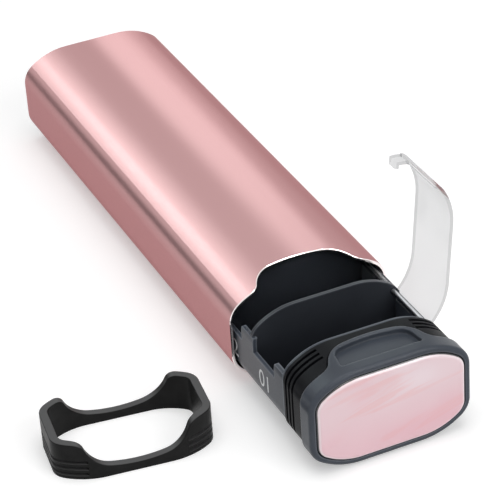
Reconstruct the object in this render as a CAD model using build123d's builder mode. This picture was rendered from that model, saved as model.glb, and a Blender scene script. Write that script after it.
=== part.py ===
# Weekly pill box: an aluminium sleeve, a seven-compartment tray that slides out of it with its
# end cap, seven clear lids hinged along the tray, a seal on the cap's neck and a spare seal.
# Millimetres. X is the width, +Y runs back along the sleeve, +Z is up. The origin is on the table,
# under the middle of the sleeve. The tray stands partly pulled out and its first lid stands open.
import os
from math import atan2, cos, degrees, radians, sin, sqrt

from build123d import *

# Case section, shared by every piece that nests in it
sleeve_width = 58.0
sleeve_height = 36.5
corner_radius = 8.6
crown_flat = 21.4
shoulder_fall = 3.2

# Sleeve
sleeve_length = 192.0
sleeve_wall = 0.9
mouth_chamfer = 0.25

# Plug and gasket that close the sleeve's back end
plug_gap = 0.1
plug_rim = 1.2
gasket_width = 1.6
gasket_depth = 1.4
gasket_gap = 0.05

# Tray
pulled_out = 51.0
compartments = 7
compartment_length = 23.3
divider = 1.4
front_wall = 1.6
tray_wall = 1.5
slide_gap = 0.8
rim_rise = 2.0
finger_notch_length = 16.0
finger_notch_depth = 5.3
finger_notch_lead = 1.0
glide_width = 2.0
glide_spacing = 16.0
glide_gap = 0.3

# Lids and hinge pins
lid_thickness = 1.2
lid_end_gap = 0.2
lid_rim_gap = 0.3
lid_open_angle = 95.0
hinge_rise = 3.05
barrel_radius = 1.4
barrel_gap = 0.5
pin_radius = 0.6
pin_running_gap = 0.05
pin_engagement = 0.55
latch_width = 5.0
latch_corner = 1.2
latch_end_gap = 0.4
latch_tip_gap = 0.5
latch_hook = 1.2
latch_hook_height = 1.4

# End cap with its neck and tabs
cap_length = 7.0
cap_inset = 0.4
cap_face_round = 1.2
cap_front_wall = 3.2
neck_wall = 2.0
tab_root_width = 41.2
tab_foot_radius = 4.0
tab_foot_turn = 68.0
tab_head_radius = 11.0
tab_crown_turn = 11.0
tab_gap = 0.5
cap_edge_round = 0.45
recess_side = 6.2
recess_taper = 1.8
recess_lead = 2.0
recess_rim = 1.5
recess_corner = 4.5
recess_front_corner = 1.0
recess_depth = 2.0

# Seals
seal_width = 13.3
seal_thickness = 2.8
seal_sleeve_gap = 0.3
seal_tab_gap = 0.2
seal_edge_round = 0.4
seal_stretch = 1.1
groove_count = 3
groove_width = 1.2
groove_pitch = 2.3
groove_depth = 1.4
groove_start_width = 33.0
spare_x = -71.8
spare_out = 10.1
spare_turn = -7.8

# Inlay, tape and screws
bezel = 2.0
inlay_seat = 1.6
inlay_gap = 0.1
inlay_proud = 0.8
inlay_edge_round = 1.8
tape_thickness = 0.2
tape_margin = 1.0
screw_spacing = 28.0
screw_radius = 1.2
screw_hole_gap = 0.05
screw_head_radius = 2.3
screw_head_height = 1.5
screw_head_gap = 0.15
screw_bite = 6.5
boss_wall = 1.8
tray_boss_length = 8.0

overrun = 1.0
same_place = 0.001

# Places worked out from the sizes above
axis_height = sleeve_height / 2
mouth_y = -sleeve_length / 2
back_y = sleeve_length / 2
shoulder_y = mouth_y - pulled_out
cap_face_y = shoulder_y - cap_length
tray_front_y = shoulder_y + seal_width
pitch = compartment_length + divider
tray_length = front_wall + compartments * pitch
tray_back_y = tray_front_y + tray_length
tray_inset = sleeve_wall + slide_gap
seal_inset = sleeve_wall + seal_sleeve_gap
neck_inset = seal_inset + seal_thickness
inlay_inset = cap_inset + bezel
inlay_floor_y = cap_face_y + inlay_seat + tape_thickness
side_straight = sleeve_height - 2 * (corner_radius + shoulder_fall)
hinge_reach = corner_radius - tray_inset - barrel_radius
hinge_x = sleeve_width / 2 - corner_radius + sqrt(hinge_reach**2 - hinge_rise**2)
hinge_level = side_straight / 2 + hinge_rise
rim_level = side_straight / 2 + rim_rise
hinge_rim_level = hinge_level - barrel_radius - barrel_gap
notch_level = rim_level - finger_notch_depth
lid_length = compartment_length - 2 * lid_end_gap
tab_steep = radians(tab_foot_turn)
tab_level = radians(tab_crown_turn)
tab_head_run = tab_head_radius * (sin(tab_steep) - sin(tab_level))
tab_crown_half = tab_root_width / 2 - tab_foot_radius * sin(tab_steep) - tab_head_run
tab_crown_radius = tab_crown_half / sin(tab_level)
boss_radius = screw_radius + screw_hole_gap + boss_wall
boss_meet_y = tray_front_y - tray_boss_length


def compartment_back(number):
    return tray_front_y + front_wall + number * pitch - divider


def case_section(inset):
    # Outline of the case, drawn inward of the sleeve's outside: a flat crown, a wide shoulder arc,
    # a corner arc and a straight side
    half_width = sleeve_width / 2 - inset
    half_height = sleeve_height / 2 - inset
    corner = corner_radius - inset
    run = half_width - crown_flat / 2 - corner
    turn = 2 * atan2(shoulder_fall, run)
    shoulder = corner + run / sin(turn)
    with BuildSketch() as section:
        with BuildLine():
            crown = Line((0, half_height), (crown_flat / 2, half_height))
            bend = JernArc(crown @ 1, crown % 1, shoulder, -degrees(turn))
            edge = JernArc(bend @ 1, bend % 1, corner, degrees(turn) - 90)
            Line(edge @ 1, (half_width, 0))
            mirror(about=Plane.YZ)
            mirror(about=Plane.XZ)
        make_face()
    return section.sketch


def section_plane(y):
    # Plane of a section, seen from the front, with its centre on the case's axis
    return Plane(origin=(0, y, axis_height), x_dir=(1, 0, 0), z_dir=(0, -1, 0))


def tab_plan(gap, root):
    # Plan of a tab from the cap's shoulder line to its end: S-shaped flanks and an arched end
    half_root = tab_root_width / 2 + gap / sin(tab_steep)
    head_radius = tab_head_radius + gap / (cos(tab_level) - cos(tab_steep))
    with BuildSketch() as plan:
        with BuildLine():
            base = Line((0, -root), (half_root, -root))
            side = Line(base @ 1, (half_root, 0))
            foot = JernArc(side @ 1, (-1, 0), tab_foot_radius, -tab_foot_turn)
            head = JernArc(foot @ 1, foot % 1, head_radius, tab_foot_turn - tab_crown_turn)
            JernArc(head @ 1, head % 1, (head @ 1).X / sin(tab_level), tab_crown_turn)
            mirror(about=Plane.YZ)
        make_face()
    return plan.sketch


def recess_plan():
    # Plan of the thumb recess: a straight front edge and a back that follows the tab's arched end
    half_front = tab_root_width / 2 - recess_side
    half_back = half_front - recess_taper
    with BuildSketch() as plan:
        with BuildLine():
            Polyline(
                (-half_front, -recess_lead),
                (half_front, -recess_lead),
                (half_back, tab_length),
                (-half_back, tab_length),
                close=True,
            )
        make_face()
        with Locations((0, tab_length - tab_crown_radius)):
            Circle(tab_crown_radius - recess_rim, mode=Mode.INTERSECT)
        fillet(plan.vertices().group_by(Axis.Y)[-1], recess_corner)
        fillet(plan.vertices().group_by(Axis.Y)[0], recess_front_corner)
    return plan.sketch


def compartment_cut():
    # Open space of a compartment: inside the tray's wall, above its rim and round the hinge
    with BuildSketch() as space:
        add(case_section(tray_inset + tray_wall))
        with Locations((0, rim_level)):
            Rectangle(sleeve_width, sleeve_height, align=(Align.CENTER, Align.MIN))
        with Locations((hinge_x - barrel_radius - barrel_gap, hinge_rim_level)):
            Rectangle(sleeve_width, sleeve_height, align=(Align.MIN, Align.MIN))
    return space.sketch


def on_outline(edge, inset, plane):
    # Whether an edge lies on the surface that the case's outline sweeps along a plane's normal
    middle = plane.to_local_coords(edge @ 0.5)
    outline = case_section(inset).wire()
    return outline.distance_to(Vertex(middle.X, middle.Y, 0)) < same_place


def seal_ring(inset):
    # Ring with its grooved end on the XY plane, cut down in the middle of both wide sides
    with BuildPart() as ring:
        with BuildSketch():
            add(case_section(inset))
            add(case_section(inset + seal_thickness), mode=Mode.SUBTRACT)
        extrude(amount=seal_width)
        with BuildSketch(Plane((0, 0, seal_width), x_dir=(1, 0, 0), z_dir=(0, 1, 0))):
            add(tab_plan(seal_tab_gap, overrun))
        extrude(amount=sleeve_height, both=True, mode=Mode.SUBTRACT)
        rims = ring.edges().filter_by(Axis.Z, reverse=True).filter_by(lambda e: (e @ 0.5).Z > same_place)
        rims = rims.filter_by(
            lambda e: on_outline(e, inset, Plane.XY) or on_outline(e, inset + seal_thickness, Plane.XY)
        )
        fillet(rims, seal_edge_round)
        for groove in range(groove_count):
            with BuildSketch(Plane.XY.offset(groove_width + groove * groove_pitch)):
                add(case_section(0))
                add(case_section(inset + groove_depth), mode=Mode.SUBTRACT)
                Rectangle(groove_start_width, sleeve_height, mode=Mode.SUBTRACT)
            extrude(amount=groove_width, mode=Mode.SUBTRACT)
    return ring.part


def lid_shell():
    # Shut lid with its hinge axis on Z: a shell, a barrel round the pin and a hooked latch
    to_axis = (-hinge_x, -hinge_level)
    lid_rim = rim_level + lid_rim_gap - hinge_level
    latch_tip = notch_level + latch_tip_gap - hinge_level
    latch_back = finger_notch_lead - lid_end_gap + latch_end_gap
    wide = 2 * sleeve_width
    left_side = (Align.MAX, Align.MAX)
    right_side = (Align.MIN, Align.MAX)
    with BuildPart() as shell:
        with BuildSketch():
            with Locations(to_axis):
                add(case_section(tray_inset))
                add(case_section(tray_inset + lid_thickness), mode=Mode.SUBTRACT)
            with Locations((-hinge_x, lid_rim)):
                Rectangle(wide, wide, align=left_side, mode=Mode.SUBTRACT)
            with Locations((-hinge_x, 0)):
                Rectangle(wide, wide, align=right_side, mode=Mode.SUBTRACT)
            Circle(barrel_radius)
        extrude(amount=lid_length)
        with BuildSketch(Plane.XY.offset(latch_back)):
            with Locations(to_axis):
                add(case_section(tray_inset))
                add(case_section(tray_inset + lid_thickness), mode=Mode.SUBTRACT)
            with Locations((-hinge_x, lid_rim + lid_thickness)):
                Rectangle(wide, wide, align=(Align.CENTER, Align.MIN), mode=Mode.SUBTRACT)
            with Locations((-hinge_x, 0)):
                Rectangle(wide, wide, align=(Align.MIN, Align.CENTER), mode=Mode.SUBTRACT)
            with Locations((-hinge_x, latch_tip)):
                Rectangle(wide, wide, align=(Align.CENTER, Align.MAX), mode=Mode.SUBTRACT)
            with Locations((tray_inset - sleeve_width / 2 - hinge_x, latch_tip)):
                Rectangle(lid_thickness + latch_hook, latch_hook_height, align=(Align.MIN, Align.MIN))
        extrude(amount=latch_width)
        tip = shell.edges().filter_by(Axis.X).filter_by(lambda e: (e @ 0.5).Y < latch_tip + same_place)
        fillet(tip, latch_corner)
        with BuildSketch():
            Circle(pin_radius)
        extrude(amount=lid_length, mode=Mode.SUBTRACT)
    return shell.part


# Reach of a tab from the cap's shoulder line
tab_length = tab_plan(0, overrun).bounding_box().max.Y

os.makedirs("parts", exist_ok=True)

# Sleeve: a drawn tube, cut back at the mouth above and below for the cap's tabs
with BuildPart() as sleeve:
    with BuildSketch(section_plane(back_y)):
        add(case_section(0))
        add(case_section(sleeve_wall), mode=Mode.SUBTRACT)
    extrude(amount=sleeve_length)
    with BuildSketch(Plane((0, mouth_y, axis_height))):
        add(tab_plan(tab_gap, overrun))
    extrude(amount=sleeve_height, both=True, mode=Mode.SUBTRACT)
    lip = sleeve.edges().filter_by(Axis.Y, reverse=True).filter_by(lambda e: (e @ 0.5).Y < 0)
    chamfer(lip.filter_by(lambda e: on_outline(e, 0, section_plane(mouth_y))), mouth_chamfer)
sleeve.part.label = "sleeve"
export_step(sleeve.part, "parts/sleeve.step")

# Rear plug: a plate in the sleeve's back end, with a groove round its edge
with BuildPart() as rear_plug:
    with BuildSketch(section_plane(back_y)):
        add(case_section(sleeve_wall + plug_gap))
    extrude(amount=2 * plug_rim + gasket_width)
    with BuildSketch(section_plane(back_y - plug_rim)):
        add(case_section(sleeve_wall))
        add(case_section(sleeve_wall + gasket_depth), mode=Mode.SUBTRACT)
    extrude(amount=gasket_width, mode=Mode.SUBTRACT)
rear_plug.part.label = "rear_plug"
export_step(rear_plug.part, "parts/rear_plug.step")

# Rear gasket: fills the plug's groove
with BuildPart() as rear_gasket:
    with BuildSketch(section_plane(back_y - plug_rim)):
        add(case_section(sleeve_wall + gasket_gap))
        add(case_section(sleeve_wall + gasket_depth), mode=Mode.SUBTRACT)
    extrude(amount=gasket_width)
rear_gasket.part.label = "rear_gasket"
export_step(rear_gasket.part, "parts/rear_gasket.step")

# Tray: a trough on two glides, low on the hinge side, with a finger notch at each compartment
with BuildPart() as tray:
    with BuildSketch(section_plane(tray_back_y)):
        add(case_section(tray_inset))
        with Locations(
            (-glide_spacing / 2, tray_inset - axis_height + tray_wall / 2),
            (glide_spacing / 2, tray_inset - axis_height + tray_wall / 2),
        ):
            Rectangle(
                glide_width,
                tray_wall / 2 + slide_gap - glide_gap,
                align=(Align.CENTER, Align.MAX),
            )
        add(compartment_cut(), mode=Mode.SUBTRACT)
    extrude(amount=tray_length - front_wall)
    for number in range(1, compartments + 1):
        with BuildSketch(section_plane(compartment_back(number) - finger_notch_lead)):
            with Locations((0, notch_level)):
                Rectangle(sleeve_width, sleeve_height, align=(Align.MAX, Align.MIN))
        extrude(amount=finger_notch_length, mode=Mode.SUBTRACT)
tray.part.label = "tray"
export_step(tray.part, "parts/tray.step")

# Tray front: the wall that ends the trough, with the first pin's hole and the bosses for the cap
with BuildPart() as tray_front:
    with BuildSketch(section_plane(tray_front_y + front_wall)):
        add(case_section(tray_inset))
    extrude(amount=front_wall)
    with BuildSketch(section_plane(tray_front_y + front_wall)):
        with Locations((hinge_x, hinge_level)):
            Circle(pin_radius + pin_running_gap)
    extrude(amount=pin_engagement, mode=Mode.SUBTRACT)
    with BuildSketch(section_plane(tray_front_y)):
        with GridLocations(screw_spacing, 0, 2, 1):
            Circle(boss_radius)
    extrude(amount=tray_boss_length)
    with BuildSketch(section_plane(boss_meet_y)):
        with GridLocations(screw_spacing, 0, 2, 1):
            Circle(screw_radius + screw_hole_gap)
    extrude(amount=-tray_boss_length, mode=Mode.SUBTRACT)
tray_front.part.label = "tray_front"
export_step(tray_front.part, "parts/tray_front.step")

# Dividers: crowned walls across the trough, each with a hole for the pins on both sides
with BuildPart() as crossing:
    with BuildSketch(section_plane(divider)):
        add(case_section(tray_inset))
        add(compartment_cut(), mode=Mode.INTERSECT)
        with Locations((hinge_x, hinge_level)):
            Circle(pin_radius + pin_running_gap, mode=Mode.SUBTRACT)
    extrude(amount=divider)
for number in range(1, compartments + 1):
    with BuildPart(Plane((0, compartment_back(number), 0))) as tray_divider:
        add(crossing.part)
    tray_divider.part.label = f"divider_{number}"
    export_step(tray_divider.part, f"parts/divider_{number}.step")

# Lids and their pins: clear shells between the dividers, the first one open
shell = lid_shell()
for number in range(1, compartments + 1):
    turned = radians(lid_open_angle) if number == 1 else 0
    hinge_height = axis_height + hinge_level
    lid_plane = Plane(
        origin=(hinge_x, compartment_back(number) - lid_end_gap, hinge_height),
        x_dir=(cos(turned), 0, -sin(turned)),
        z_dir=(0, -1, 0),
    )
    with BuildPart(lid_plane) as lid:
        add(shell)
    lid.part.label = f"lid_{number}"
    export_step(lid.part, f"parts/lid_{number}.step")

    with BuildPart() as hinge_pin:
        with BuildSketch(section_plane(compartment_back(number) + pin_engagement)):
            with Locations((hinge_x, hinge_level)):
                Circle(pin_radius)
        extrude(amount=compartment_length + 2 * pin_engagement)
    hinge_pin.part.label = f"hinge_pin_{number}"
    export_step(hinge_pin.part, f"parts/hinge_pin_{number}.step")

# Tabs of the cap, above and below, which close the cut-outs in the sleeve's mouth
with BuildPart() as tabs:
    with BuildSketch(section_plane(shoulder_y + tab_length + overrun)):
        add(case_section(cap_inset))
    extrude(amount=tab_length + overrun + cap_length / 2)
    with BuildSketch(Plane((0, shoulder_y, axis_height))):
        add(tab_plan(0, cap_length / 2))
    extrude(amount=sleeve_height, both=True, mode=Mode.INTERSECT)

# End cap: a block flush with the sleeve, the hollow neck under the seal, the tabs with their thumb
# recesses, the seat of the inlay and the screw bosses
with BuildPart() as end_cap:
    with BuildSketch(section_plane(shoulder_y)):
        add(case_section(cap_inset))
    extrude(amount=cap_length)
    fillet(end_cap.faces().sort_by(Axis.Y)[0].outer_wire().edges(), cap_face_round)
    with BuildSketch(section_plane(tray_front_y)):
        add(case_section(neck_inset))
    extrude(amount=seal_width)
    add(tabs.part)
    with BuildSketch(Plane((0, shoulder_y, sleeve_height - cap_inset))):
        add(recess_plan())
    extrude(amount=-recess_depth, mode=Mode.SUBTRACT)
    with BuildSketch(Plane((0, shoulder_y, cap_inset))):
        add(recess_plan())
    extrude(amount=recess_depth, mode=Mode.SUBTRACT)
    outer_edges = end_cap.edges().filter_by(Axis.Y, reverse=True).filter_by(
        lambda e: (e @ 0.5).Y > shoulder_y - recess_lead - overrun
    )
    fillet(outer_edges.filter_by(lambda e: on_outline(e, cap_inset, section_plane(0))), cap_edge_round)
    with BuildSketch(section_plane(tray_front_y)):
        add(case_section(neck_inset + neck_wall))
    extrude(amount=tray_front_y - inlay_floor_y - cap_front_wall, mode=Mode.SUBTRACT)
    with BuildSketch(section_plane(cap_face_y)):
        add(case_section(inlay_inset))
    extrude(amount=cap_face_y - inlay_floor_y, mode=Mode.SUBTRACT)
    with BuildSketch(section_plane(boss_meet_y)):
        with GridLocations(screw_spacing, 0, 2, 1):
            Circle(boss_radius)
    extrude(amount=boss_meet_y - inlay_floor_y - cap_front_wall / 2)
    with BuildSketch(section_plane(boss_meet_y)):
        with GridLocations(screw_spacing, 0, 2, 1):
            Circle(screw_radius + screw_hole_gap)
    extrude(amount=boss_meet_y - inlay_floor_y, mode=Mode.SUBTRACT)
    with BuildSketch(section_plane(inlay_floor_y)):
        with GridLocations(screw_spacing, 0, 2, 1):
            Circle(screw_head_radius + screw_head_gap)
    extrude(amount=-(screw_head_height + screw_head_gap), mode=Mode.SUBTRACT)
end_cap.part.label = "end_cap"
export_step(end_cap.part, "parts/end_cap.step")

# Cap screws: pan heads under the inlay, shanks through the cap's bosses into the tray's
head_seat_y = inlay_floor_y + screw_head_height + screw_head_gap
with BuildPart() as cap_screws:
    with BuildSketch(section_plane(head_seat_y)):
        with GridLocations(screw_spacing, 0, 2, 1):
            Circle(screw_head_radius)
    extrude(amount=screw_head_height)
    with BuildSketch(section_plane(boss_meet_y + screw_bite)):
        with GridLocations(screw_spacing, 0, 2, 1):
            Circle(screw_radius)
    extrude(amount=boss_meet_y + screw_bite - head_seat_y)
cap_screws.part.label = "cap_screws"
export_step(cap_screws.part, "parts/cap_screws.step")

# Inlay tape: a thin pad on the floor of the inlay's seat
with BuildPart() as inlay_tape:
    with BuildSketch(section_plane(inlay_floor_y)):
        add(case_section(inlay_inset + tape_margin))
    extrude(amount=tape_thickness)
inlay_tape.part.label = "inlay_tape"
export_step(inlay_tape.part, "parts/inlay_tape.step")

# Inlay: a marbled plate with a rounded front edge, a little proud of the bezel
with BuildPart() as cap_inlay:
    with BuildSketch(section_plane(inlay_floor_y - tape_thickness)):
        add(case_section(inlay_inset + inlay_gap))
    extrude(amount=inlay_seat + inlay_proud)
    fillet(cap_inlay.faces().sort_by(Axis.Y)[0].outer_wire().edges(), inlay_edge_round)
cap_inlay.part.label = "cap_inlay"
export_step(cap_inlay.part, "parts/cap_inlay.step")

# Seals: one stretched on the cap's neck, and a relaxed spare lying with its grooved end down
neck_ring = seal_ring(seal_inset)
with BuildPart(section_plane(tray_front_y)) as cap_seal:
    add(neck_ring)
cap_seal.part.label = "cap_seal"
export_step(cap_seal.part, "parts/cap_seal.step")

spare_ring = seal_ring(seal_inset + seal_stretch)
spare_across = (cos(radians(spare_turn)), sin(radians(spare_turn)), 0)
with BuildPart(Plane((spare_x, mouth_y - spare_out, 0), x_dir=spare_across)) as spare_seal:
    add(spare_ring)
spare_seal.part.label = "spare_seal"
export_step(spare_seal.part, "parts/spare_seal.step")
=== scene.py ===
import math

import bpy
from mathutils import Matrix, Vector


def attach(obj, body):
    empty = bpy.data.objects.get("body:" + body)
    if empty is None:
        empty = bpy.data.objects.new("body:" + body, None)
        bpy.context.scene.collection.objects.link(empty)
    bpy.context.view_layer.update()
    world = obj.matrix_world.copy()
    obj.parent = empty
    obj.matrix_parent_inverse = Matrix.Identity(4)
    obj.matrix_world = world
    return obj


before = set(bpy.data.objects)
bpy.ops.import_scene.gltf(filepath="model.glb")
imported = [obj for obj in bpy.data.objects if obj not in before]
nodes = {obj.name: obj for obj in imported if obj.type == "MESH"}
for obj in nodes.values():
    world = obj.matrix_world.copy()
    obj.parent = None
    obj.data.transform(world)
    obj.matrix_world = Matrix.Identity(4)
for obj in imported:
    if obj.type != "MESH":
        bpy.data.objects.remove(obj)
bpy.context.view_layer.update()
scene = bpy.context.scene
print("frame:", len(nodes), "nodes")


# shared helpers for materials

noiseSpan = (0.32, 0.68)  # where most of a noise's values lie
edgeSpan = (0.95, 0.55)  # openness of a face, and of a sharp outer edge
edgeSamples = 8
rimSamples = 6
compartments = range(1, 8)


def newShader(name):
    material = bpy.data.materials.new(name)
    material.use_nodes = True
    tree = material.node_tree
    return material, tree, tree.nodes["Principled BSDF"]


def addNode(tree, kind, **settings):
    node = tree.nodes.new(kind)
    for key, value in settings.items():
        setattr(node, key, value)
    return node


def ramp(tree, source, stops):
    node = tree.nodes.new("ShaderNodeValToRGB")
    node.color_ramp.interpolation = "EASE"
    while len(node.color_ramp.elements) < len(stops):
        node.color_ramp.elements.new(0.5)
    for element, (place, colour) in zip(node.color_ramp.elements, stops):
        element.position = place
        element.color = (*colour, 1)
    tree.links.new(source, node.inputs["Fac"])
    return node.outputs["Color"]


def blend(tree, factor, below, above):
    node = addNode(tree, "ShaderNodeMix", data_type="RGBA")
    node.inputs["B"].default_value = (*above, 1)
    tree.links.new(factor, node.inputs["Factor"])
    tree.links.new(below, node.inputs["A"])
    return node.outputs["Result"]


def noiseOf(tree, stretch, detail=2, distortion=0.0, turn=0.0):
    place = addNode(tree, "ShaderNodeTexCoord")
    turned = addNode(tree, "ShaderNodeMapping")
    turned.inputs["Rotation"].default_value = (0, turn, 0)
    tree.links.new(place.outputs["Object"], turned.inputs["Vector"])
    scaled = addNode(tree, "ShaderNodeVectorMath", operation="MULTIPLY")
    scaled.inputs[1].default_value = stretch
    tree.links.new(turned.outputs["Vector"], scaled.inputs[0])
    noise = addNode(tree, "ShaderNodeTexNoise")
    noise.inputs["Scale"].default_value = 1.0
    noise.inputs["Detail"].default_value = detail
    noise.inputs["Distortion"].default_value = distortion
    tree.links.new(scaled.outputs["Vector"], noise.inputs["Vector"])
    return noise.outputs["Fac"]


def mapTo(tree, value, span, low, high):
    node = addNode(tree, "ShaderNodeMapRange", interpolation_type="SMOOTHSTEP")
    node.inputs["From Min"].default_value, node.inputs["From Max"].default_value = span
    node.inputs["To Min"].default_value = low
    node.inputs["To Max"].default_value = high
    tree.links.new(value, node.inputs["Value"])
    return node.outputs["Result"]


def axisOf(tree, vector, axis):
    parts = addNode(tree, "ShaderNodeSeparateXYZ")
    tree.links.new(vector, parts.inputs["Vector"])
    return parts.outputs[axis]


def normalAxis(tree, axis):
    geometry = addNode(tree, "ShaderNodeNewGeometry")
    return axisOf(tree, geometry.outputs["Normal"], axis)


def placeAxis(tree, axis):
    place = addNode(tree, "ShaderNodeTexCoord")
    return axisOf(tree, place.outputs["Object"], axis)


def sizeOf(tree, value):
    size = addNode(tree, "ShaderNodeMath", operation="ABSOLUTE")
    tree.links.new(value, size.inputs[0])
    return size.outputs[0]


def varied(tree, noise, middle, play):
    return mapTo(tree, noise, noiseSpan, middle - play, middle + play)


def addGrain(tree, shader, look):
    fine = noiseOf(tree, look["grain"])
    roughness = varied(tree, fine, look["roughness"], look["roughnessPlay"])
    tree.links.new(roughness, shader.inputs["Roughness"])
    bump = addNode(tree, "ShaderNodeBump")
    bump.inputs["Distance"].default_value = look["grainDepth"]
    tree.links.new(fine, bump.inputs["Height"])
    if "rimRadius" in look:
        rounded = addNode(tree, "ShaderNodeBevel", samples=rimSamples)
        rounded.inputs["Radius"].default_value = look["rimRadius"]
        tree.links.new(rounded.outputs["Normal"], bump.inputs["Normal"])
    tree.links.new(bump.outputs["Normal"], shader.inputs["Normal"])


def mottled(tree, look):
    broad = noiseOf(tree, look["mottle"])
    shades = [1 - look["mottlePlay"], 1 + look["mottlePlay"]]
    tones = [tuple(shade * part for part in look["colour"]) for shade in shades]
    return ramp(tree, broad, list(zip(noiseSpan, tones)))


# mask of the outer edges, where the plastics get a painted highlight
def outerEdges(tree, look):
    edge = addNode(
        tree, "ShaderNodeAmbientOcclusion", inside=True, only_local=True, samples=edgeSamples
    )
    edge.inputs["Distance"].default_value = look["edgeReach"]
    return mapTo(tree, edge.outputs["AO"], edgeSpan, 0.0, look["edgeMost"])


def paint(names, material):
    for name in names:
        mesh = nodes[name].data
        mesh.materials.clear()
        mesh.materials.append(material)


# rose-gold sleeve: satin anodised skin, bare polished metal where the tube is cut

sleeveLook = {
    "skin": (0.5, 0.302, 0.305),
    "cutEdge": (0.95, 0.88, 0.87),
    "skinRoughness": 0.32,
    "skinPlay": 0.025,
    "skinGrain": (1700, 1700, 1700),
    "edgeRoughness": 0.16,
    "edgeSpan": (0.15, 0.4),
    "grazingTint": (0.68, 0.46, 0.47),
    "crownHalf": 0.02,
    "crownSwell": 0.0011,
}


def makeRoseGold(look):
    material, tree, shader = newShader("roseGold")
    shader.inputs["Metallic"].default_value = 1.0
    shader.inputs["Specular Tint"].default_value = (*look["grazingTint"], 1)
    cut = mapTo(tree, sizeOf(tree, normalAxis(tree, "Y")), look["edgeSpan"], 0.0, 1.0)
    tint = addNode(tree, "ShaderNodeMix", data_type="RGBA")
    tint.inputs["A"].default_value = (*look["skin"], 1)
    tint.inputs["B"].default_value = (*look["cutEdge"], 1)
    tree.links.new(cut, tint.inputs["Factor"])
    tree.links.new(tint.outputs["Result"], shader.inputs["Base Color"])
    satin = varied(tree, noiseOf(tree, look["skinGrain"]), look["skinRoughness"], look["skinPlay"])
    sheen = addNode(tree, "ShaderNodeMix")
    sheen.inputs["B"].default_value = look["edgeRoughness"]
    tree.links.new(cut, sheen.inputs["Factor"])
    tree.links.new(satin, sheen.inputs["A"])
    tree.links.new(sheen.outputs["Result"], shader.inputs["Roughness"])

    # the drawn tube's crown swells slightly across its width
    angle = addNode(tree, "ShaderNodeMapRange")
    angle.inputs["From Max"].default_value = look["crownHalf"]
    angle.inputs["To Max"].default_value = math.pi
    tree.links.new(sizeOf(tree, placeAxis(tree, "X")), angle.inputs["Value"])
    swell = addNode(tree, "ShaderNodeMath", operation="COSINE")
    tree.links.new(angle.outputs["Result"], swell.inputs[0])
    bump = addNode(tree, "ShaderNodeBump")
    bump.inputs["Distance"].default_value = look["crownSwell"]
    tree.links.new(swell.outputs[0], bump.inputs["Height"])
    tree.links.new(bump.outputs["Normal"], shader.inputs["Normal"])
    return material


paint(["sleeve"], makeRoseGold(sleeveLook))
print("sleeve painted")


# slate moulding: tray, end cap, rear plug and dividers

slateLook = {
    "colour": (0.046, 0.054, 0.069),
    "mottle": (70, 70, 70),
    "mottlePlay": 0.07,
    # the edge colour is a painted highlight along the outer edges
    "edge": (0.15, 0.165, 0.19),
    "edgeReach": 0.0007,
    "edgeMost": 0.85,
    "roughness": 0.32,
    "roughnessPlay": 0.04,
    "grain": (1500, 1500, 1500),
    "grainDepth": 0.000008,
    "specular": 0.2,
}
capLook = {**slateLook, "rimRadius": 0.001}  # the cap's rims are softer than the tray's
# the dividers are the slate plastic painted darker: painted shade inside the compartments
dividerShadedLook = {
    **slateLook,
    "colour": (0.028, 0.031, 0.038),
    "edge": (0.08, 0.086, 0.1),
    "roughness": 0.36,
}


def makePlastic(name, look):
    material, tree, shader = newShader(name)
    # the outer edges are painted lighter: a painted highlight
    edgeHighlighted = blend(tree, outerEdges(tree, look), mottled(tree, look), look["edge"])
    tree.links.new(edgeHighlighted, shader.inputs["Base Color"])
    addGrain(tree, shader, look)
    shader.inputs["Specular IOR Level"].default_value = look["specular"]
    return material


slateNodes = ["tray", "tray_front", "rear_plug"]
dividerNodes = [f"divider_{number}" for number in compartments]
paint(slateNodes, makePlastic("slatePlastic", slateLook))
paint(["end_cap"], makePlastic("capPlastic", capLook))
paint(dividerNodes, makePlastic("dividerShadedPlastic", dividerShadedLook))
print("tray and cap painted")


# silicone rings: the spare one has a painted highlight on the rims of its open ends

siliconeLook = {
    "colour": (0.011, 0.011, 0.011),
    "mottle": (240, 240, 240),
    "mottlePlay": 0.15,
    "rim": (0.085, 0.085, 0.086),
    "rimSpan": (0.55, 0.95),
    "roughness": 0.4,
    "roughnessPlay": 0.05,
    "grain": (2200, 2200, 2200),
    "grainDepth": 0.000006,
    "specular": 0.08,
}
# the mounted seals are the spare ring's silicone painted darker: painted shade
mountedShadedLook = {
    **siliconeLook,
    "colour": (0.006, 0.0064, 0.008),
    "edge": (0.018, 0.019, 0.022),
    "edgeReach": 0.0004,
    "edgeMost": 0.4,
    "specular": 0.06,
}


def makeRimHighlightSilicone(look):
    material, tree, shader = newShader("spareSilicone")
    # rims facing up or down are painted paler: a painted highlight
    rim = mapTo(tree, sizeOf(tree, normalAxis(tree, "Z")), look["rimSpan"], 0.0, 1.0)
    tree.links.new(blend(tree, rim, mottled(tree, look), look["rim"]), shader.inputs["Base Color"])
    addGrain(tree, shader, look)
    shader.inputs["Specular IOR Level"].default_value = look["specular"]
    return material


mountedSeals = ["cap_seal", "rear_gasket"]
paint(mountedSeals, makePlastic("mountedShadedSilicone", mountedShadedLook))
paint(["spare_seal"], makeRimHighlightSilicone(siliconeLook))
print("seals painted")


# clear lids: slightly hazy faces, greyer where seen edge on and at the moulded ends

lidLook = {
    "clear": (0.73, 0.735, 0.74),
    "hazy": (0.67, 0.675, 0.68),
    "haze": (45, 45, 45),
    "grazing": (0.6, 0.605, 0.61),
    "grazingSpan": (0.55, 0.95),
    "end": (0.5, 0.505, 0.51),
    "endSpan": (0.75, 0.95),
    "roughness": 0.06,
    "roughnessPlay": 0.015,
    "flow": (60, 180, 60),
    "ior": 1.02,  # thin walls, so the light hardly bends
}


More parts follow.
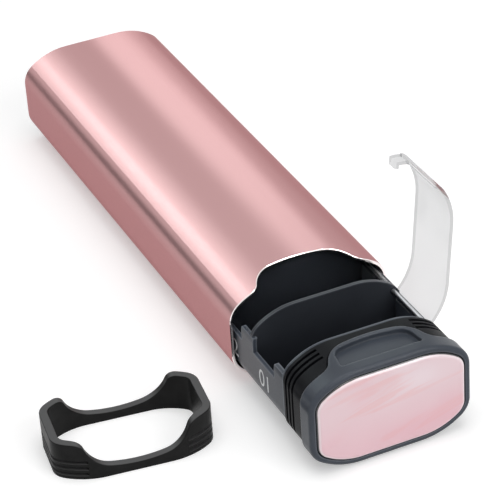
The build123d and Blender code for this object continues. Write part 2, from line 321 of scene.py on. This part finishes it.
def makeClear(look):
    material, tree, shader = newShader("clearPlastic")
    facing = addNode(tree, "ShaderNodeLayerWeight")
    facing.inputs["Blend"].default_value = 0.5
    turned = mapTo(tree, facing.outputs["Facing"], look["grazingSpan"], 0.0, 1.0)
    hazeStops = list(zip(noiseSpan, (look["hazy"], look["clear"])))
    cloudy = ramp(tree, noiseOf(tree, look["haze"]), hazeStops)
    depth = blend(tree, turned, cloudy, look["grazing"])
    end = mapTo(tree, sizeOf(tree, normalAxis(tree, "Y")), look["endSpan"], 0.0, 1.0)
    tree.links.new(blend(tree, end, depth, look["end"]), shader.inputs["Base Color"])
    gloss = varied(tree, noiseOf(tree, look["flow"]), look["roughness"], look["roughnessPlay"])
    tree.links.new(gloss, shader.inputs["Roughness"])
    shader.inputs["IOR"].default_value = look["ior"]
    shader.inputs["Transmission Weight"].default_value = 1.0
    return material


lidNames = [f"lid_{number}" for number in compartments]
paint(lidNames, makeClear(lidLook))
for name in lidNames:
    nodes[name].visible_shadow = False  # thin and clear, so the compartments below stay lit
print("lids painted")


# marbled inlay: pale pink with soft salmon veins that climb to the right

marbleLook = {
    "pale": (0.8, 0.59, 0.63),
    "pink": (0.8, 0.49, 0.54),
    "salmon": (0.82, 0.42, 0.42),
    "cloudy": (0.84, 0.7, 0.74),
    "cloudStops": (0.3, 0.52, 0.75),
    "cloudStretch": (15, 30, 45),
    "cloudDetail": 2,
    "cloudDistortion": 0.6,
    "veinStretch": (13, 40, 85),
    "veinDetail": 4,
    "veinDistortion": 1.4,
    "veinTurn": math.radians(15),
    "veinStops": (0.53, 0.6, 0.68),
    "veinStrengths": (0.0, 0.38, 0.04),
    "deep": (0.78, 0.4, 0.47),
    "deepSpan": (0.026, 0.003),
    "deepMost": 0.45,
    # the rim colour is a painted highlight on the rounded edge
    "rim": (0.9, 0.85, 0.87),
    "rimSpan": (-0.985, -0.9),
    "rimMost": 0.45,
    # the dark colour is a painted shadow in the gap round the inlay
    "gapShadow": (0.02, 0.02, 0.022),
    "gapShadowSpan": (-0.78, -0.68),
    "roughness": 0.16,
    "coat": 0.8,
    "coatRoughness": 0.05,
}


def makeMarble(look):
    material, tree, shader = newShader("marbleResin")
    turn = look["veinTurn"]
    clouds = noiseOf(
        tree, look["cloudStretch"], look["cloudDetail"], look["cloudDistortion"], turn
    )
    cloudTones = (look["pink"], look["pale"], look["cloudy"])
    ground = ramp(tree, clouds, list(zip(look["cloudStops"], cloudTones)))
    veins = noiseOf(tree, look["veinStretch"], look["veinDetail"], look["veinDistortion"], turn)
    veinTones = [(strength,) * 3 for strength in look["veinStrengths"]]
    veinMask = ramp(tree, veins, list(zip(look["veinStops"], veinTones)))
    veined = blend(tree, veinMask, ground, look["salmon"])

    # the pink deepens towards the bottom
    depth = mapTo(tree, placeAxis(tree, "Z"), look["deepSpan"], 0.0, look["deepMost"])
    shaded = blend(tree, depth, veined, look["deep"])

    # the rounded edge has a painted highlight, and a painted shadow of the gap runs where it meets
    # its seat
    facing = normalAxis(tree, "Y")
    rim = mapTo(tree, facing, look["rimSpan"], 0.0, look["rimMost"])
    rimmed = blend(tree, rim, shaded, look["rim"])
    gapShadow = mapTo(tree, facing, look["gapShadowSpan"], 0.0, 1.0)
    tree.links.new(blend(tree, gapShadow, rimmed, look["gapShadow"]), shader.inputs["Base Color"])
    shader.inputs["Roughness"].default_value = look["roughness"]
    shader.inputs["Coat Weight"].default_value = look["coat"]
    shader.inputs["Coat Roughness"].default_value = look["coatRoughness"]
    return material


paint(["cap_inlay"], makeMarble(marbleLook))
print("inlay painted")


# steel pins and screws, and the tape under the inlay

steelLook = {
    "colour": (0.84, 0.84, 0.85),
    "mottle": (300, 2500, 300),  # turned rings round the pins and shanks
    "mottlePlay": 0.04,
    "roughness": 0.35,
    "roughnessPlay": 0.05,
    "grain": (200, 6000, 200),
    "grainDepth": 0.000002,
    "metallic": 1.0,
}
tapeLook = {
    "colour": (0.8, 0.8, 0.78),
    "mottle": (500, 500, 1500),
    "mottlePlay": 0.06,
    "roughness": 0.6,
    "roughnessPlay": 0.08,
    "grain": (900, 900, 4000),
    "grainDepth": 0.00002,
    "metallic": 0.0,
}


def makeGrained(name, look):
    material, tree, shader = newShader(name)
    tree.links.new(mottled(tree, look), shader.inputs["Base Color"])
    addGrain(tree, shader, look)
    shader.inputs["Metallic"].default_value = look["metallic"]
    return material


steelNodes = ["cap_screws"] + [f"hinge_pin_{number}" for number in compartments]
paint(steelNodes, makeGrained("turnedSteel", steelLook))
paint(["inlay_tape"], makeGrained("whiteTape", tapeLook))
print("small pieces painted")


# printed numbers on the tray's left wall, one for each compartment

printLook = {
    "height": 0.0090,
    "lift": 0.00004,
    "level": 0.01485,
    "firstPlace": -0.1180,
    "pitch": 0.0247,
    "wall": -0.0273,
    "turn": (math.radians(90), 0, math.radians(-90)),  # upright, read from the left
}
inkLook = {
    "colour": (0.86, 0.87, 0.88),
    "mottle": (900, 900, 900),
    "mottlePlay": 0.05,
    "roughness": 0.5,
    "roughnessPlay": 0.05,
    "grain": (3000, 3000, 3000),
    "grainDepth": 0.000004,
    "metallic": 0.0,
}


def makePrintTree(material, look):
    tree = bpy.data.node_groups.new("printedNumber", "GeometryNodeTree")
    face = tree.interface
    face.new_socket("Geometry", in_out="OUTPUT", socket_type="NodeSocketGeometry")
    face.new_socket("Label", in_out="INPUT", socket_type="NodeSocketString")
    face.new_socket("Height", in_out="INPUT", socket_type="NodeSocketFloat")
    face.new_socket("Place", in_out="INPUT", socket_type="NodeSocketVector")
    entry = addNode(tree, "NodeGroupInput")
    letters = addNode(tree, "GeometryNodeStringToCurves", align_x="CENTER", align_y="MIDDLE")
    tree.links.new(entry.outputs["Label"], letters.inputs["String"])
    tree.links.new(entry.outputs["Height"], letters.inputs["Size"])
    filled = addNode(tree, "GeometryNodeFillCurve")
    tree.links.new(letters.outputs["Curve Instances"], filled.inputs["Curve"])
    moved = addNode(tree, "GeometryNodeTransform")
    moved.inputs["Rotation"].default_value = look["turn"]
    tree.links.new(entry.outputs["Place"], moved.inputs["Translation"])
    tree.links.new(filled.outputs["Mesh"], moved.inputs["Geometry"])
    plain = addNode(tree, "GeometryNodeRealizeInstances")
    tree.links.new(moved.outputs["Geometry"], plain.inputs["Geometry"])
    inked = addNode(tree, "GeometryNodeSetMaterial")
    inked.inputs["Material"].default_value = material
    tree.links.new(plain.outputs["Geometry"], inked.inputs["Geometry"])
    leave = addNode(tree, "NodeGroupOutput")
    tree.links.new(inked.outputs["Geometry"], leave.inputs["Geometry"])
    return tree


def makePlainMesh(name, tree, values):
    source = bpy.data.objects.new(name + "Source", bpy.data.meshes.new(name + "Source"))
    scene.collection.objects.link(source)
    modifier = source.modifiers.new("shape", "NODES")
    modifier.node_group = tree
    for item in tree.interface.items_tree:
        if item.in_out == "INPUT":
            modifier[item.identifier] = values[item.name]
    graph = bpy.context.evaluated_depsgraph_get()
    mesh = bpy.data.meshes.new_from_object(source.evaluated_get(graph))
    bpy.data.objects.remove(source)
    piece = bpy.data.objects.new(name, mesh)
    scene.collection.objects.link(piece)
    return piece


printTree = makePrintTree(makeGrained("whiteInk", inkLook), printLook)
for number in compartments:
    away = printLook["firstPlace"] + (number - 1) * printLook["pitch"]
    wall = printLook["wall"] - printLook["lift"]
    values = {
        "Label": f"0{number}",
        "Height": printLook["height"],
        "Place": (wall, away, printLook["level"]),
    }
    label = makePlainMesh(f"printed_number_{number}", printTree, values)
    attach(label, "tray")
print("numbers printed")


# floor, room light, lamps and cards

studio = {
    "floorSize": 8,
    "floorColour": (0.8, 0.8, 0.8),
    "floorRoughness": 0.9,
    "floorGlow": 0.34,
    "ambient": 0.4,
    "seen": 1.0,
}
lamps = {
    "topSoftbox": {
        "place": (-0.1, -0.15, 1.5), "target": (0, -0.05, 0), "size": (1.2, 1.2), "power": 11,
    },
    "frontFill": {
        "place": (0.45, -1.3, 0.75), "target": (0, -0.1, 0.02), "size": (1.1, 1.1), "power": 8,
    },
}
plainWhite = (1.0, 1.0, 1.0)
coolWhite = (0.87, 1.0, 0.99)
cardDistance = 2.0
cardTarget = Vector((0, 0, 0.03))
cards = {  # seen only in reflections, azimuth and elevation in degrees
    "leftStrip": {"at": (-19, 34), "size": (0.62, 0.5), "glow": 4.6, "tint": coolWhite},
    "rightStrip": {"at": (28.6, 22), "size": (0.58, 0.6), "glow": 2.9, "tint": coolWhite},
    "edgeStrip": {"at": (158, 22), "size": (0.4, 1.0), "glow": 3.4, "tint": plainWhite},
    "rimStrip": {"at": (148, 52), "size": (0.5, 0.5), "glow": 5.0, "tint": plainWhite},
    "leftFlag": {"at": (-41, 6), "size": (0.85, 0.56), "glow": 0.01, "tint": plainWhite},
}


def seenRays(tree):
    rays = addNode(tree, "ShaderNodeLightPath")
    first = addNode(tree, "ShaderNodeMath", operation="MAXIMUM")
    tree.links.new(rays.outputs["Is Camera Ray"], first.inputs[0])
    tree.links.new(rays.outputs["Is Glossy Ray"], first.inputs[1])
    second = addNode(tree, "ShaderNodeMath", operation="MAXIMUM")
    tree.links.new(first.outputs[0], second.inputs[0])
    tree.links.new(rays.outputs["Is Transmission Ray"], second.inputs[1])
    return second.outputs[0]


def makeFloor(look):
    bpy.ops.mesh.primitive_plane_add(size=look["floorSize"], location=(0, 0, 0))
    floor = bpy.context.object
    floor.name = "floor"
    material, tree, shader = newShader("paleFloor")
    shader.inputs["Base Color"].default_value = (*look["floorColour"], 1)
    shader.inputs["Roughness"].default_value = look["floorRoughness"]
    shader.inputs["Specular IOR Level"].default_value = 0.0
    glow = addNode(tree, "ShaderNodeMath", operation="MULTIPLY")
    glow.inputs[1].default_value = look["floorGlow"]
    tree.links.new(seenRays(tree), glow.inputs[0])
    shader.inputs["Emission Color"].default_value = (1, 1, 1, 1)
    tree.links.new(glow.outputs[0], shader.inputs["Emission Strength"])
    floor.data.materials.append(material)


def makeRoom(look):
    world = bpy.data.worlds.new("studioRoom")
    world.use_nodes = True
    tree = world.node_tree
    room = tree.nodes["Background"]
    room.inputs["Color"].default_value = (1, 1, 1, 1)
    level = addNode(tree, "ShaderNodeMapRange")
    level.inputs["To Min"].default_value = look["ambient"]
    level.inputs["To Max"].default_value = look["seen"]
    tree.links.new(seenRays(tree), level.inputs["Value"])
    tree.links.new(level.outputs["Result"], room.inputs["Strength"])
    scene.world = world


def makeLamp(name, look):
    lamp = bpy.data.lights.new(name, "AREA")
    lamp.shape = "RECTANGLE"
    lamp.size, lamp.size_y = look["size"]
    lamp.energy = look["power"]
    holder = bpy.data.objects.new(name, lamp)
    holder.location = look["place"]
    aim = Vector(look["target"]) - Vector(look["place"])
    holder.rotation_euler = aim.to_track_quat("-Z", "Y").to_euler()
    scene.collection.objects.link(holder)


def makeCard(name, look):
    side, rise = (math.radians(angle) for angle in look["at"])
    flat = cardDistance * math.cos(rise)
    place = Vector((flat * math.sin(side), flat * math.cos(side), cardDistance * math.sin(rise)))
    bpy.ops.mesh.primitive_plane_add(size=1, location=(0, 0, 0))
    card = bpy.context.object
    card.name = name
    card.scale = (*look["size"], 1)
    card.location = place
    card.rotation_euler = (cardTarget - place).to_track_quat("Z", "Y").to_euler()
    material, tree, shader = newShader(name)
    shader.inputs["Base Color"].default_value = (0, 0, 0, 1)
    shader.inputs["Specular IOR Level"].default_value = 0.0
    shader.inputs["Emission Color"].default_value = (*look["tint"], 1)
    shader.inputs["Emission Strength"].default_value = look["glow"]
    card.data.materials.append(material)
    card.visible_camera = False
    card.visible_diffuse = False
    card.visible_shadow = False
    card.visible_transmission = False


makeFloor(studio)
makeRoom(studio)
for name, look in lamps.items():
    makeLamp(name, look)
for name, look in cards.items():
    makeCard(name, look)
print("studio lit")


# camera at the photograph's viewing angle

cameraFit = {
    "place": (-0.27314, -0.69237, 0.46326),
    "turn": (57.475, 3.315, -25.110),
    "lens": 170.95,
    "sensor": 36,
    "reach": 20,
}
cameraData = bpy.data.cameras.new("photoCamera")
cameraData.sensor_width = cameraFit["sensor"]
cameraData.lens = cameraFit["lens"]
cameraData.clip_end = cameraFit["reach"]
camera = bpy.data.objects.new("photoCamera", cameraData)
camera.location = cameraFit["place"]
camera.rotation_euler = [math.radians(angle) for angle in cameraFit["turn"]]
scene.collection.objects.link(camera)
scene.camera = camera
scene.view_settings.view_transform = "Standard"

print("scene ready")
